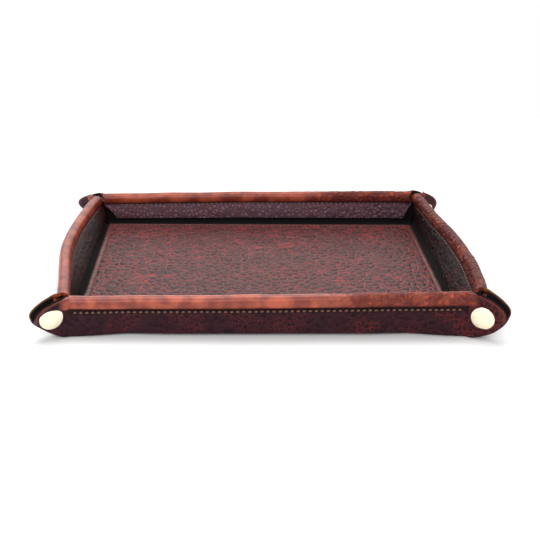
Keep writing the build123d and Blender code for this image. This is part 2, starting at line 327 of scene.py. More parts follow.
@dataclass(frozen=True)
class WallShape:
    """Shape of one wall on its own axes: x along the wall, out of the tray, and up."""

    side: Side
    face: float
    crease: float
    end_lean: float
    bow: float
    ear_turn: float
    crease_sag: float
    neighbour_face: float
    neighbour_crease: float
    corner_gap: float = 0.5

    @property
    def half_turn(self) -> float:
        """Half the turn from the wall into its ear, in radians."""
        return math.radians(self.ear_turn / 2)

    def bend(self, x: float) -> float:
        """Radius of the bend under the wall, which tightens towards the corners."""
        return mix(SIZES.bend_middle, SIZES.bend_corner, smooth(*SIZES.bend_spread, abs(x) / self.crease))

    def tilt(self, x: float) -> float:
        """How far the wall leans outwards, in radians."""
        lean = self.end_lean + self.bow * (1.0 - (x / self.crease) ** 2)
        return math.atan2(lean, SIZES.roll_centre - SIZES.tilt_bend)

    def section(self, x: float) -> list[Point]:
        """Outer side of the leather across the wall, from under the base to the flap's edge.

        Args:
            x: Place along the wall.

        Returns:
            Points of distance from the tray's middle and height, as many at every place.
        """
        bend, tilt = self.bend(x), self.tilt(x)
        up = Vector((math.sin(tilt), math.cos(tilt)))
        out = Vector((math.cos(tilt), -math.sin(tilt)))
        start = Vector((self.face - bend + bend * math.cos(tilt), bend - bend * math.sin(tilt)))
        points = [Vector((self.face - SIZES.bend_middle - SIZES.bend_overlap, 0.0))]
        for i in range(ROWS.bend):
            a = (math.pi / 2 - tilt) * i / ROWS.bend
            points.append(Vector((self.face - bend + bend * math.sin(a), bend - bend * math.cos(a))))
        half_hem = SIZES.hem / 2
        centre_rise = (SIZES.roll_centre - start.y - half_hem * math.sin(tilt)) / math.cos(tilt)
        pinch_rise = (SIZES.pinch_height - start.y) / math.cos(tilt)
        for i in range(ROWS.wall):
            share = i / ROWS.wall
            dip = SIZES.pinch_depth * smooth(*SIZES.pinch_span, share)
            points.append(start + up * (pinch_rise * share) - out * dip)
        centre = start + up * centre_rise - out * half_hem
        radius = SIZES.roll_radius
        pinch_out = start + up * pinch_rise - out * SIZES.pinch_depth
        pinch_in = start + up * pinch_rise - out * (SIZES.hem - SIZES.pinch_depth)
        below = math.radians(SIZES.roll_below)
        side_out = centre + out * (radius * math.cos(below)) - up * (radius * math.sin(below))
        side_in = centre - out * (radius * math.cos(below)) - up * (radius * math.sin(below))
        guide_drop = radius * SIZES.guide_drop
        guide_out = centre + out * (radius * SIZES.guide_width) - up * guide_drop
        guide_in = centre - out * (radius * SIZES.guide_width) - up * guide_drop
        for i in range(ROWS.neck):
            t = i / ROWS.neck
            points.append(pinch_out * (1 - t) ** 2 + guide_out * (2 * t * (1 - t)) + side_out * t * t)
        for i in range(ROWS.roll):
            a = -below + (math.pi + 2 * below) * i / ROWS.roll
            points.append(centre + out * (radius * math.cos(a)) + up * (radius * math.sin(a)))
        for i in range(ROWS.neck):
            t = i / ROWS.neck
            points.append(side_in * (1 - t) ** 2 + guide_in * (2 * t * (1 - t)) + pinch_in * t * t)
        flap_length = (SIZES.pinch_height - SIZES.flap_height) / math.cos(tilt)
        for i in range(ROWS.flap + 1):
            share = i / ROWS.flap
            puff = (SIZES.pinch_depth * (1 - smooth(0.0, SIZES.flap_settle, share))
                    - SIZES.flap_puff * math.sin(math.pi * share) ** SIZES.flap_fullness)
            points.append(pinch_in - up * (flap_length * share) + out * (puff - SIZES.pinch_depth))
        return [(p.x, p.y) for p in points]

    def roll_middle(self, x: float) -> Point:
        """Middle of the roll at a place along the wall.

        Args:
            x: Place along the wall.

        Returns:
            Its distance from the tray's middle and its height.
        """
        bend, tilt = self.bend(x), self.tilt(x)
        low = bend - bend * math.sin(tilt)
        climb = (SIZES.roll_centre - low - SIZES.hem / 2 * math.sin(tilt)) / math.cos(tilt)
        out = self.face - bend + bend * math.cos(tilt) + climb * math.sin(tilt) - SIZES.hem / 2 * math.cos(tilt)
        return out, low + climb * math.cos(tilt) + SIZES.hem / 2 * math.sin(tilt)

    def trim(self, x: float, depth: float, taper: float = 0.0) -> float:
        """Draw a place along the wall in, so that the leather stays short of the next wall's own.

        Args:
            x: Place along an uncut wall.
            depth: Distance into the tray from the wall's outer face.
            taper: How much more is cut away at each end.

        Returns:
            The place along the trimmed wall.
        """
        middle_x = (self.crease + self.neighbour_face) / 2
        middle_depth = self.face - (self.face + self.neighbour_crease) / 2
        limit = middle_x - (depth - middle_depth) / math.tan(math.radians(self.ear_turn)) - self.corner_gap
        return x * min((min(self.crease, limit) - taper) / self.crease, 1.0)

    def place(self, x: float, out: float, z: float) -> Vector:
        """Point of the tray, in metres, for a point on the wall's own axes.

        Args:
            x: Place along the wall.
            out: Distance from the tray's middle.
            z: Height in the even tray.

        Returns:
            The point in the frame.
        """
        a = math.radians(self.side.value)
        px = x * math.cos(a) + out * math.sin(a)
        py = x * math.sin(a) - out * math.cos(a)
        py += math.copysign(SIZES.corner_pull(px, py, z), py)
        px += SIZES.sway(px, py, z)
        return Vector((px, py, SIZES.rise(px, z))) * MM

    def corner_ease(self, x: float, out: float) -> Point:
        """Move a point of the wall near its ends so that the crease into the ear is round.

        Args:
            x: Place along the wall.
            out: Distance from the tray's middle.

        Returns:
            The eased place along the wall and distance out.
        """
        t = (self.crease - abs(x)) / (2 * self.crease_sag / math.sin(self.half_turn))
        if t >= 1.0:
            return x, out
        push = self.crease_sag * (1.0 - max(t, 0.0)) ** 2
        side = 1.0 if x > 0 else -1.0
        return x - side * push * math.sin(self.half_turn), out + push * math.cos(self.half_turn)


FRONT_CREASE, SIDE_CREASE = 123.5, 91.553
FRONT_SHAPE = dict(face=SIZES.half_width, crease=FRONT_CREASE, end_lean=1.5, bow=2.0, ear_turn=30.0,
                   crease_sag=0.35, neighbour_face=SIZES.half_length, neighbour_crease=SIDE_CREASE)
SIDE_SHAPE = dict(face=SIZES.half_length, crease=SIDE_CREASE, end_lean=3.0, bow=6.5, ear_turn=60.0,
                  crease_sag=1.0, neighbour_face=SIZES.half_width, neighbour_crease=FRONT_CREASE)
SHAPES = {side: WallShape(side=side, **(FRONT_SHAPE if side in (Side.FRONT, Side.BACK) else SIDE_SHAPE))
          for side in Side}
# Painted shade: how far the rim and the flap of each wall are darker than the front's
SHADES = {Side.FRONT: 0.0, Side.BACK: 0.12, Side.LEFT: 0.26, Side.RIGHT: 0.38}


@dataclass(frozen=True)
class HandWork:
    """Unevenness of the hand-made walls: depths and sizes of waves, creases and folds in millimetres."""

    seed_step: float = 31.0
    seed_start: int = 200
    end_calm: float = 14.0
    base_calm: float = 6.0
    slow_depth: float = 0.55
    slow_size: float = 38.0
    small_depth: float = 0.12
    small_size: float = 6.0
    roll_calm: float = 0.85
    rise_depth: float = 0.35
    rise_size: float = 30.0
    rise_seed: Point = (9.0, 3.0)
    knob_size: float = 9.0
    knob_share: float = 0.4
    crease_size: float = 4.6
    crease_stretch: float = 0.35
    crease_seed: float = 5.0
    crease_depth: Span = (0.03, 0.5)
    crease_width: float = 0.22
    crease_sink: float = 0.6
    fold_seed: float = 2.0
    fold_calm: float = 3.0
    grain_wander: float = 14.0
    wander_size: float = 45.0
    wander_seed: float = 7.0
    coarse_span: Span = (10.0, 85.0)

    def coarse(self, point: Vector) -> float:
        """How coarse the leather's grain is, from 0 for the tight left to 1 for the loose right."""
        wander = self.grain_wander * ripple(point.x / MM, point.y / MM, self.wander_seed, self.wander_size)
        return smooth(*self.coarse_span, point.x / MM + wander)


HAND = HandWork()


@dataclass(frozen=True)
class WallPlan:
    """Steps and small sizes of a wall's pieces, in millimetres."""

    column: float = 0.8
    flap_taper: float = 0.55
    groove_shade: float = 0.9
    lining_column: float = 3.0
    under_pad: float = 16.0
    behind_flap: float = 15.0
    inner_radius: float = 2.6
    lining_steps: tuple[int, int, int] = (6, 8, 10)
    cord_sides: int = 12
    cord_step: float = 2.0
    cord_inset: float = 1.0
    cord_tip: float = 0.35
    weld_within: float = 0.01
    stitch_pitch: float = 3.7
    stitch_slant: float = 0.12


@dataclass(frozen=True)
class Folds:
    """Folds in the flap of a wall, in millimetres, with a stretch below 1 for folds that stand upright."""

    size: float
    stretch: float
    depth: float


@dataclass(frozen=True)
class StitchRow:
    """A row of stitches, in millimetres: thread, inset at the ends, and how far it stands off the leather.

    The shares of the pitch say where each stitch starts and ends.
    """

    thread: float
    inset: float
    shares: Span
    lift: float


WALL = WallPlan()
END_FOLDS = Folds(size=4.5, stretch=0.9, depth=0.28)
SIDE_FOLDS = Folds(size=5.5, stretch=0.3, depth=0.5)
FLAP_ROW = StitchRow(thread=0.42, inset=9.0, shares=(0.14, 0.86), lift=-0.12)
FACE_ROW = StitchRow(thread=1.05, inset=3.0, shares=(0.04, 0.84), lift=0.14)


class Wall:
    """One wall: its leather with roll and flap, its lining, its cord and its two rows of stitches."""

    def __init__(self, side: Side) -> None:
        """Take the wall's shape and folds.

        Args:
            side: Which wall it is.
        """
        self.side = side
        self.shape = SHAPES[side]
        self.name = side.name.lower()
        self.folds = SIDE_FOLDS if side in (Side.LEFT, Side.RIGHT) else END_FOLDS

    def skin(self) -> Piece:
        """Build the wall's leather as one skin with a roll and a turned-down flap.

        Returns:
            The leather, which curves from under the base up into the wall.
        """
        shape = self.shape
        rows = len(shape.section(0.0))
        columns = 2 * round(shape.crease / WALL.column) + 1
        places = [mix(-shape.crease, shape.crease, i / (columns - 1)) for i in range(columns)]
        sections = [shape.section(x) for x in places]
        crown_row = max(range(rows), key=lambda j: sections[columns // 2][j][1])
        mesh, points = grid(columns, rows)
        rolls: list[float] = []
        flaps: list[float] = []
        grooves: list[float] = []
        for vertex, i, j in points:
            x, (out, z) = places[i], sections[i][j]
            inner = j > crown_row
            if inner:
                x = shape.trim(x, max(shape.face - out, 0.0), WALL.flap_taper * max(SIZES.pinch_height - z, 0.0))
            on_roll = smooth(*ROWS.roll_start, j) * (1 - smooth(rows - ROWS.roll_end[0], rows - ROWS.roll_end[1], j))
            on_flap = smooth(rows - ROWS.flap_start[0], rows - ROWS.flap_start[1], j)
            wave = self.wave(x, z, on_roll, on_flap, inner)
            out += wave[0]
            if not inner:
                x, out = shape.corner_ease(x, out)
            vertex.co = shape.place(x, out, z + wave[1])
            rolls.append(on_roll)
            flaps.append(on_flap)
            grooves.append(smooth(*ROWS.groove_start, j) * (1.0 - smooth(*ROWS.groove_end, j)))
        orient(mesh, up=False)
        obj = link(mesh, f"{self.name}_wall_skin")
        paint(obj, "roll", rolls)
        paint(obj, "flap", flaps)
        paint(obj, "coarse", [HAND.coarse(v.co) for v in obj.data.vertices])
        # The shade attribute is painted shade: each wall's own on its rim and flap, and a dark line in the groove
        # under the roll
        paint(obj, "shade", [max(SHADES[self.side] * max(roll, flap), WALL.groove_shade * groove)
                             for roll, flap, groove in zip(rolls, flaps, grooves)])
        # Painted highlight: only the back wall's flap takes the lighter colour on the tops of its pebbles
        paint(obj, "painted_highlight", [1.0 if self.side is Side.BACK else 0.0] * len(rolls))
        thicken(obj, SIZES.leather)
        LEATHER.dress(obj)
        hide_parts(f"{self.name}_wall_leather")
        low = shape.place(0.0, shape.face, 0.0)
        high = shape.place(0.0, shape.face, SIZES.bend_middle)
        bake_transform(obj)
        return obj

    def wave(self, x: float, z: float, on_roll: float, on_flap: float, inner: bool) -> Point:
        """How far hand work and use have moved a point of the leather.

        Args:
            x: Place along the wall.
            z: Height in the even tray.
            on_roll: 1 on the rolled rim.
            on_flap: 1 on the turned-down flap.
            inner: True past the crown of the roll.

        Returns:
            Distances outwards and upwards.
        """
        seed = HAND.seed_step * (self.side.value + HAND.seed_start)
        ends = smooth(0.0, HAND.end_calm, self.shape.crease - abs(x))
        slow = HAND.slow_depth * ripple(x, seed, 0.0, HAND.slow_size) * ends
        small = HAND.small_depth * ripple(x, z, seed, HAND.small_size)
        out = (slow + small * (1.0 - HAND.roll_calm * on_roll)) * smooth(0.0, HAND.base_calm, z)
        up = HAND.rise_depth * ripple(x, seed + HAND.rise_seed[0], HAND.rise_seed[1], HAND.rise_size) * ends * on_roll
        if on_roll > 0.0:
            knobs = ripple(x, seed, 0.0, HAND.knob_size)
            crease = abs(ripple(x, z * HAND.crease_stretch, seed + HAND.crease_seed, HAND.crease_size))
            depth = mix(*HAND.crease_depth, HAND.coarse(self.shape.place(x, self.shape.face, z)))
            sink = depth * (1.0 - smooth(0.0, HAND.crease_width, crease)) * on_roll
            out -= (-1.0 if inner else 1.0) * sink * (1.0 - HAND.knob_share + HAND.knob_share * knobs)
            up -= HAND.crease_sink * sink
        if on_flap > 0.0:
            fold = ripple(x, z * self.folds.stretch, seed + HAND.fold_seed, self.folds.size)
            out += self.folds.depth * fold * on_flap * smooth(0.0, HAND.fold_calm, SIZES.pinch_height - z)
        return out, up

    def lining_strip(self) -> Piece:
        """Build the suede that runs from under the pad up behind the flap.

        Returns:
            The lining, which curves from the base up into the wall.
        """
        shape = self.shape
        top = SIZES.leather + SIZES.glue + SIZES.lining
        columns = 2 * round(shape.crease / WALL.lining_column) + 1
        flat_steps, bend_steps, wall_steps = WALL.lining_steps
        mesh, points = grid(columns, flat_steps + bend_steps + wall_steps + 1)
        corner = shape.face - top - WALL.inner_radius
        for vertex, i, j in points:
            x = mix(-shape.crease, shape.crease, i / (columns - 1))
            tilt = shape.tilt(x)
            turned = min(max((j - flat_steps) / bend_steps, 0.0), 1.0)
            a = (math.pi / 2 - tilt) * turned
            climb = WALL.behind_flap * max(j - flat_steps - bend_steps, 0) / wall_steps
            out = corner + WALL.inner_radius * math.sin(a) + climb * math.sin(tilt)
            z = top + WALL.inner_radius * (1 - math.cos(a)) + climb * math.cos(tilt)
            if j <= flat_steps:
                out = mix(shape.face - WALL.under_pad, corner, j / flat_steps)
            vertex.co = shape.place(shape.trim(x, max(shape.face - out, 0.0)), out, z)
        orient(mesh, up=True)
        obj = link(mesh, f"{self.name}_lining_strip")
        thicken(obj, SIZES.lining - SIZES.glue)
        SUEDE.dress(obj)
        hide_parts(f"{self.name}_wall_lining")
        low = shape.place(0.0, shape.face, top)
        high = shape.place(0.0, shape.face, top + WALL.inner_radius)
        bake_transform(obj)
        return obj

    def cord(self) -> Piece:
        """Build the filler cord inside the roll.

        Returns:
            The cord.
        """
        shape = self.shape
        reach = shape.crease - WALL.cord_inset
        columns = 2 * round(reach / WALL.cord_step) + 1
        mesh, points = grid(columns, WALL.cord_sides + 1)
        for vertex, i, j in points:
            x = mix(-reach, reach, i / (columns - 1))
            out, z = shape.roll_middle(x)
            push = self.wave(x, z, 0.0, 0.0, False)
            a = 2 * math.pi * j / WALL.cord_sides
            radius = SIZES.hollow * min((reach - abs(x)) / WALL.cord_step + WALL.cord_tip, 1.0)
            vertex.co = shape.place(x, out + push[0] + radius * math.cos(a), z + radius * math.sin(a))
        bmesh.ops.remove_doubles(mesh, verts=mesh.verts, dist=WALL.weld_within * MM)
        bmesh.ops.holes_fill(mesh, edges=[e for e in mesh.edges if e.is_boundary], sides=WALL.cord_sides)
        bmesh.ops.recalc_face_normals(mesh, faces=mesh.faces)
        obj = link(mesh, f"{self.name}_cord")
        CORD.dress(obj)
        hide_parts(f"{self.name}_rim_cord")
        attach(obj, self.side.body)
        return obj

    def stitches(self, inner: bool) -> Piece:
        """Sew a row of stitches under the roll.

        Args:
            inner: True for the row on the flap inside the tray, False for the outer one.

        Returns:
            The row as one piece.
        """
        shape = self.shape
        kind = FLAP_ROW if inner else FACE_ROW
        row = len(shape.section(0.0)) - ROWS.flap_stitches if inner else ROWS.face_stitches
        reach = shape.crease - kind.inset
        mesh = bmesh.new()
        for i in range(int(2 * reach / WALL.stitch_pitch)):
            ends = []
            for share, slant in zip(kind.shares, (-WALL.stitch_slant, WALL.stitch_slant)):
                x = -reach + WALL.stitch_pitch * (i + share)
                out, z = shape.section(x)[row]
                wave = self.wave(x, z, 0.0, 0.0, inner)
                ends.append(shape.place(x, out + wave[0] + kind.lift, z + wave[1] + slant))
            sew(mesh, *ends, kind.thread)
        obj = link(mesh, f"{self.name}_{'flap' if inner else 'face'}_stitching")
        (TAN_THREAD if inner else FACE_THREAD).dress(obj)
        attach(obj, self.side.body)
        return obj


def sew(mesh: Mesh, start: Vector, end: Vector, thread: float) -> None:
    """Add one stitch, a short thread that dives into the leather at both ends.

    Args:
        mesh: The row of stitches.
        start: Where the thread comes out, in metres.
        end: Where it goes in, in metres.
        thread: Thickness of the thread in millimetres.
    """
    sides, rings, swell, lengthwise = 6, 2, 1.25, 0.9
    along = end - start
    turn = along.to_track_quat("Z", "Y").to_matrix().to_4x4()
    # Mark the thread's ends, where the thread material paints the shade of the stitch holes
    hole = mesh.verts.layers.float.get("hole") or mesh.verts.layers.float.new("hole")
    made = bmesh.ops.create_cone(mesh, cap_ends=True, segments=sides, radius1=thread * MM / 2,
                                 radius2=thread * MM / 2, depth=along.length,
                                 matrix=Matrix.Translation((start + end) / 2) @ turn)
    for vertex in made["verts"]:
        vertex[hole] = 1.0
    walls = [e for e in dict.fromkeys(edge for v in made["verts"] for edge in v.link_edges)
             if abs((e.verts[0].co - e.verts[1].co).normalized().dot(along.normalized())) > lengthwise]
    cut = bmesh.ops.subdivide_edges(mesh, edges=walls, cuts=rings)
    middle = [g for g in cut["geom_inner"] if isinstance(g, bmesh.types.BMVert)]
    for vertex in middle:
        vertex[hole] = 0.0
    bmesh.ops.scale(mesh, vec=(swell, swell, swell), verts=middle,
                    space=Matrix.Translation(-(start + end) / 2))


@dataclass(frozen=True)
class EarPlan:
    """Outline and finish of an ear half on its own face, in millimetres from the crease and up."""

    heights: tuple[float, ...] = (0.0, 1.0, 2.0, 4.2, 6.5, 10.0, 13.0, 16.5, 18.8, 21.0, 23.4, 25.4, 26.8, 27.8, 28.5)
    reaches: tuple[float, ...] = (4.6, 7.2, 9.6, 13.8, 17.4, 21.2, 22.9, 23.5, 23.0, 21.2, 17.6, 13.2, 8.8, 5.0, 2.2)
    columns: int = 44
    left_share: float = 0.86
    back_share: float = 0.82
    left_trim: float = 0.22
    right_trim: float = -0.08
    trim_height: float = 15.0
    fold_span: Span = (11.0, 17.5)
    edge_radius: float = 0.55
    edge_slope: float = 0.8
    fold_slope: float = 0.56
    snap: Point = (10.2, 15.0)
    belly: float = 0.3
    belly_round: Span = (8.0, 12.0)
    belly_foot: float = 5.0
    belly_end: Span = (15.0, 21.0)
    bump: float = 0.1
    bump_size: float = 6.0
    bump_start: float = 5.0
    seam_fade: Span = (3.0, 7.0)
    seam_heights: Span = (21.5, 26.0)
    roll_span: Span = (-0.4, 1.6)
    roll_fade: Span = (1.0, 9.0)
    brim_span: Span = (0.6, 3.0)
    brim_slope: float = 0.7
    brim_share: float = 0.5
    brim_heights: Span = (12.0, 16.0)
    cut_heights: Span = (12.0, 15.0)
    hinge: Span = (-0.4, 3.0)
    lining_grid: tuple[int, int] = (24, 30)
    lining_fold: Span = (9.0, 17.0)
    lining_edge: float = 0.25
    lining_fold_edge: float = 3.4
    lining_top: float = 0.5
    lining_least: float = 0.5
    lining_share: float = 0.7
    cap_lining: Point = (1.0, 3.0)
    stud_lining: Point = (5.0, 9.0)

    def reach(self, z: float) -> float:
        """How far from the crease the outline lies at a height.

        Args:
            z: The height.

        Returns:
            The distance along the ear's face, on a smooth curve through the outline's points.
        """
        h, r = self.heights, self.reaches
        z = min(max(z, h[0]), h[-1])
        i = max(k for k in range(len(h) - 1) if h[k] <= z or k == 0)
        t = (z - h[i]) / (h[i + 1] - h[i])
        before, after = max(i - 1, 0), min(i + 2, len(h) - 1)
        slope_here = (r[i + 1] - r[before]) / (h[i + 1] - h[before]) * (h[i + 1] - h[i])
        slope_next = (r[after] - r[i]) / (h[after] - h[i]) * (h[i + 1] - h[i])
        a = 2 * t**3 - 3 * t**2 + 1
        b = t**3 - 2 * t**2 + t
        c = -2 * t**3 + 3 * t**2
        d = t**3 - t**2
        return a * r[i] + b * slope_here + c * r[i + 1] + d * slope_next


EAR = EarPlan()


class Ear:
    """One half of a pinched corner: its leather and its lining."""

    def __init__(self, corner: str, role: Role, side: Side, end: int) -> None:
        """Take the half's place.

        Args:
            corner: Name of the corner.
            role: What the half carries.
            side: The wall that the half hangs on.
            end: 1 or -1, the end of that wall.
        """
        self.body = f"{corner}_{role.value}_ear"
        self.shape = SHAPES[side]
        self.role = role
        self.end = end
        left = "left" in corner
        self.share = EAR.back_share if "back" in corner else EAR.left_share if left else 1.0
        self.trim = EAR.left_trim if left else EAR.right_trim

    def limit(self, z: float) -> float:
        """How far from the crease this half reaches at a height."""
        return EAR.reach(z) * self.share * (1.0 - self.trim * (1.0 - smooth(0.0, EAR.trim_height, z)))

    def axes(self) -> tuple[Vector, Vector, Vector]:
        """Work out the ear's own directions.

        Returns:
            Along the ear, out of its face and up, on the wall's own axes.
        """
        a = math.radians(self.shape.ear_turn)
        along = Vector((self.end * math.cos(a), math.sin(a), 0.0))
        lean = self.shape.end_lean / (SIZES.roll_centre - SIZES.tilt_bend)
        up = Vector((0.0, lean, 1.0))
        outward = up.cross(along)
        outward.normalize()
        return along, outward if outward.y > 0 else -outward, up

    def point(self, reach: float, z: float, depth: float) -> Vector:
        """Point on the ear at some depth under its face, on the wall's own axes.

        Args:
            reach: Distance along the ear from the crease.
            z: Height.
            depth: Depth under the outer face.

        Returns:
            The point: along the wall, out of the tray and up.
        """
        along, outward, up = self.axes()
        foot = Vector((self.end * self.shape.crease, self.shape.face, 0.0))
        foot -= up * SIZES.tilt_bend
        foot.z += SIZES.tilt_bend
        return foot + up * z + along * reach - outward * depth

    def spot(self, reach: float, z: float, depth: float) -> Vector:
        """Point on the ear in the frame, in metres."""
        return self.shape.place(*self.point(reach, z, depth))

    def edge_depth(self, reach: float, z: float, limit: float) -> float:
        """How far the ear's outer side has turned in near its outline.

        Args:
            reach: Distance along the ear from the crease.
            z: Height.
            limit: Where the outline lies at this height.

        Returns:
            Depth under the flat of the face.
        """
        folded = 1.0 - smooth(*EAR.fold_span, z)
        radius = mix(EAR.edge_radius, SIZES.fold_depth, folded)
        gap = max(limit - reach, 0.0) * mix(EAR.edge_slope, EAR.fold_slope, folded)
        if gap >= radius:
            return 0.0
        share = 1.0 - gap / radius
        return radius * (1.0 - math.sqrt(max(1.0 - share * share, 0.0)))

    def belly(self, reach: float, z: float) -> float:
        """How far the half bulges off its flat face between the snap and the edges.

        Args:
            reach: Distance along the ear from the crease.
            z: Height.

        Returns:
            The height of the bulge.
        """
        around = math.hypot(reach - EAR.snap[0], z - EAR.snap[1])
        return EAR.belly * smooth(*EAR.belly_round, around) * smooth(0.0, EAR.belly_foot, z) * (
            1 - smooth(*EAR.belly_end, reach))

    def skin(self) -> Piece:
        """Build the half's leather, which grows out of the wall's.

        Returns:
            The leather, which turns from the wall's crease into the ear half.
        """
        shape = self.shape
        end_section = shape.section(shape.crease)
        crown = max(range(len(end_section)), key=lambda j: end_section[j][1])
        profile = end_section[: crown + 1]
        columns = EAR.columns
        shares = [math.sin(math.pi / 2 * i / (columns - 1)) for i in range(columns)]
        mesh, points = grid(columns, len(profile))
        for vertex, i, j in points:
            out, z = profile[j]
            z_here = mix(z, z * EAR.heights[-1] / SIZES.height, smooth(0.0, 1.0, shares[i]))
            limit = self.limit(z_here)
            reach = limit * shares[i]
            depth = self.edge_depth(reach, z_here, limit) - self.belly(reach, z_here)
            bump = ripple(reach, z_here, float(shape.side.value), EAR.bump_size)
            spot = self.point(reach, z_here, depth + EAR.bump * bump * smooth(0.0, EAR.bump_start, reach))
            flat = self.point(0.0, z, self.edge_depth(0.0, z, self.limit(z)))
            seam = Vector((*shape.corner_ease(self.end * shape.crease, out), z))
            fade = 1.0 - smooth(0.0, mix(*EAR.seam_fade, smooth(*EAR.seam_heights, z)), reach) if i else 1.0
            vertex.co = shape.place(*(spot + (seam - flat) * fade))
        self.turn_outwards(mesh)
        obj = link(mesh, f"{self.body}_skin")
        rolls, cuts = [], []
        for vertex in obj.data.vertices:
            i, z = vertex.index % columns, profile[vertex.index // columns][1]
            reach = self.limit(z) * shares[i]
            high = smooth(SIZES.pinch_height + EAR.roll_span[0], SIZES.pinch_height + EAR.roll_span[1], z)
            brim = 1 - smooth(*EAR.brim_span, EAR.brim_slope * (self.limit(z) - reach))
            rolls.append(max(high * (1 - smooth(*EAR.roll_fade, reach)),
                             EAR.brim_share * brim * smooth(*EAR.brim_heights, z)))
            cuts.append(smooth(*EAR.cut_heights, z) if i == columns - 1 else 0.0)
        paint(obj, "roll", rolls)
        paint(obj, "cut", cuts)
        paint(obj, "flap", [0.0] * len(rolls))
        paint(obj, "coarse", [HAND.coarse(v.co) for v in obj.data.vertices])
        weld(obj)
        thicken(obj, SIZES.leather)
        rest_on_table(obj)
        LEATHER.dress(obj)
        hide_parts(f"{self.body}_leather")
        start, finish = (self.spot(reach, 0.0, 0.0) for reach in EAR.hinge)
        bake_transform(obj)
        return obj

    def turn_outwards(self, mesh: Mesh) -> None:
        """Make the faces of an ear's skin point out of the pinched corner.

        Args:
            mesh: The skin.
        """
        bmesh.ops.recalc_face_normals(mesh, faces=mesh.faces)
        _, outward, _ = self.axes()
        a = math.radians(self.shape.side.value)
        world = Vector((outward.x * math.cos(a) + outward.y * math.sin(a),
                        outward.x * math.sin(a) - outward.y * math.cos(a), outward.z))
        if sum(face.normal.dot(world) * face.calc_area() for face in mesh.faces) < 0:
            bmesh.ops.reverse_faces(mesh, faces=mesh.faces)

    def lining(self) -> Piece:
        """Build the half's suede lining, a little inside the leather's outline.

        Returns:
            The lining.
        """
        columns, rows = EAR.lining_grid
        start, foot = EAR.stud_lining if self.role is Role.STUD else EAR.cap_lining
        mesh, points = grid(columns, rows)
        for vertex, i, j in points:
            z = mix(foot, EAR.heights[-1] - EAR.lining_top, j / (rows - 1))
            folded = 1.0 - smooth(*EAR.lining_fold, z)
            limit = self.limit(z) - mix(EAR.lining_edge, EAR.lining_fold_edge, folded)
            reach = mix(start, max(limit, start + EAR.lining_least), math.sin(math.pi / 2 * i / (columns - 1)))
            vertex.co = self.spot(reach, z, SIZES.leather + SIZES.glue)
        self.turn_outwards(mesh)
        obj = link(mesh, f"{self.body}_suede")
        thicken(obj, EAR.lining_share * SIZES.lining)
        SUEDE.dress(obj)
        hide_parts(f"{self.body}_lining")
        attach(obj, self.body)
        return obj


